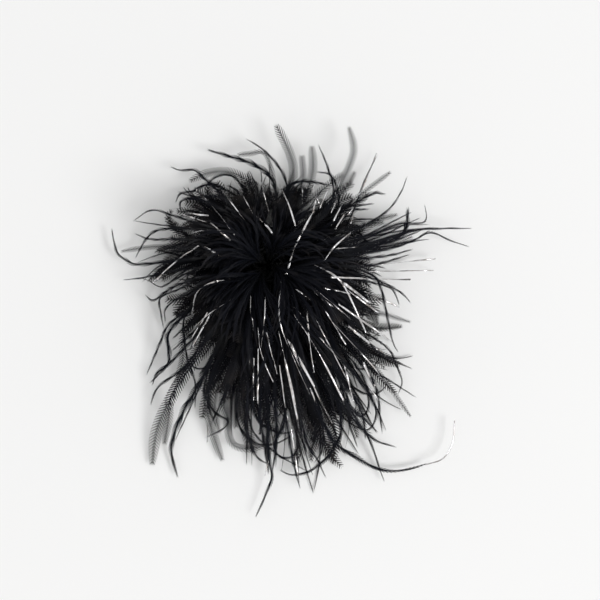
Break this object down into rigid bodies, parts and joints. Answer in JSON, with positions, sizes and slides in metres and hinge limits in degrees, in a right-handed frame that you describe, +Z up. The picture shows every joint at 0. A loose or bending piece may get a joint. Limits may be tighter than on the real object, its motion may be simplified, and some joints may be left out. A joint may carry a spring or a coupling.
{
  "type": "feather boa puff",
  "caption": "Short coiled feather boa on a round felt backing: a flat-lying puff of long black stripped ostrich barbs and silver tinsel strips, combed to one side.",
  "frame": {"origin": "middle of the felt backing's flat underside, on the axis of the coil", "axes": "+Z up from the backing through the coil to the crown; -Y the way the long barbs are combed; +X to the right when seen from above with -Y towards the viewer"},
  "size_m": [0.2164, 0.2346, 0.0713],
  "materials": {
    "felt": "matt black wool felt",
    "buckram": "stiffened black cotton weave",
    "cotton": "matt black cotton cord, tape and thread",
    "feather": "dyed black ostrich barbs, soft sheen",
    "tinsel": "silver metallised film"
  },
  "bodies": {
    "root": {"felt_backing": "felt", "stiffened_base": "buckram", "cord_ply_a": "cotton", "cord_ply_b": "cotton", "lower_end_whipping": "cotton", "upper_end_whipping": "cotton", "fringe_heading": "cotton", "tacking_stitch_1": "cotton", "tacking_stitch_2": "cotton", "tacking_stitch_3": "cotton", "tacking_stitch_4": "cotton", "outer_tuft_01": "feather", "outer_tuft_02": "feather", "outer_tuft_03": "feather", "outer_tuft_04": "feather", "outer_tuft_05": "feather", "outer_tuft_06": "feather", "outer_tuft_07": "feather", "outer_tuft_08": "feather", "outer_tuft_09": "feather", "outer_tuft_10": "feather", "outer_tuft_11": "feather", "outer_tuft_12": "feather", "middle_tuft_01": "feather", "middle_tuft_02": "feather", "middle_tuft_03": "feather", "middle_tuft_04": "feather", "middle_tuft_05": "feather", "middle_tuft_06": "feather", "middle_tuft_07": "feather", "middle_tuft_08": "feather", "middle_tuft_09": "feather", "middle_tuft_10": "feather", "inner_tuft_01": "feather", "inner_tuft_02": "feather", "inner_tuft_03": "feather", "inner_tuft_04": "feather", "inner_tuft_05": "feather", "inner_tuft_06": "feather", "inner_tuft_07": "feather", "inner_tuft_08": "feather", "crown_tuft_01": "feather", "crown_tuft_02": "feather", "crown_tuft_03": "feather", "crown_tuft_04": "feather", "stray_barb_1": "feather", "stray_barb_2": "feather", "stray_barb_3": "feather", "stray_barb_4": "feather", "stray_barb_5": "feather", "stray_barb_6": "feather", "tinsel_strip_1": "tinsel", "tinsel_strip_2": "tinsel", "tinsel_strip_3": "tinsel", "tinsel_strip_4": "tinsel", "tinsel_strip_5": "tinsel", "tinsel_strip_6": "tinsel", "tinsel_strip_7": "tinsel", "tinsel_strip_8": "tinsel"}
  },
  "joints": []
}
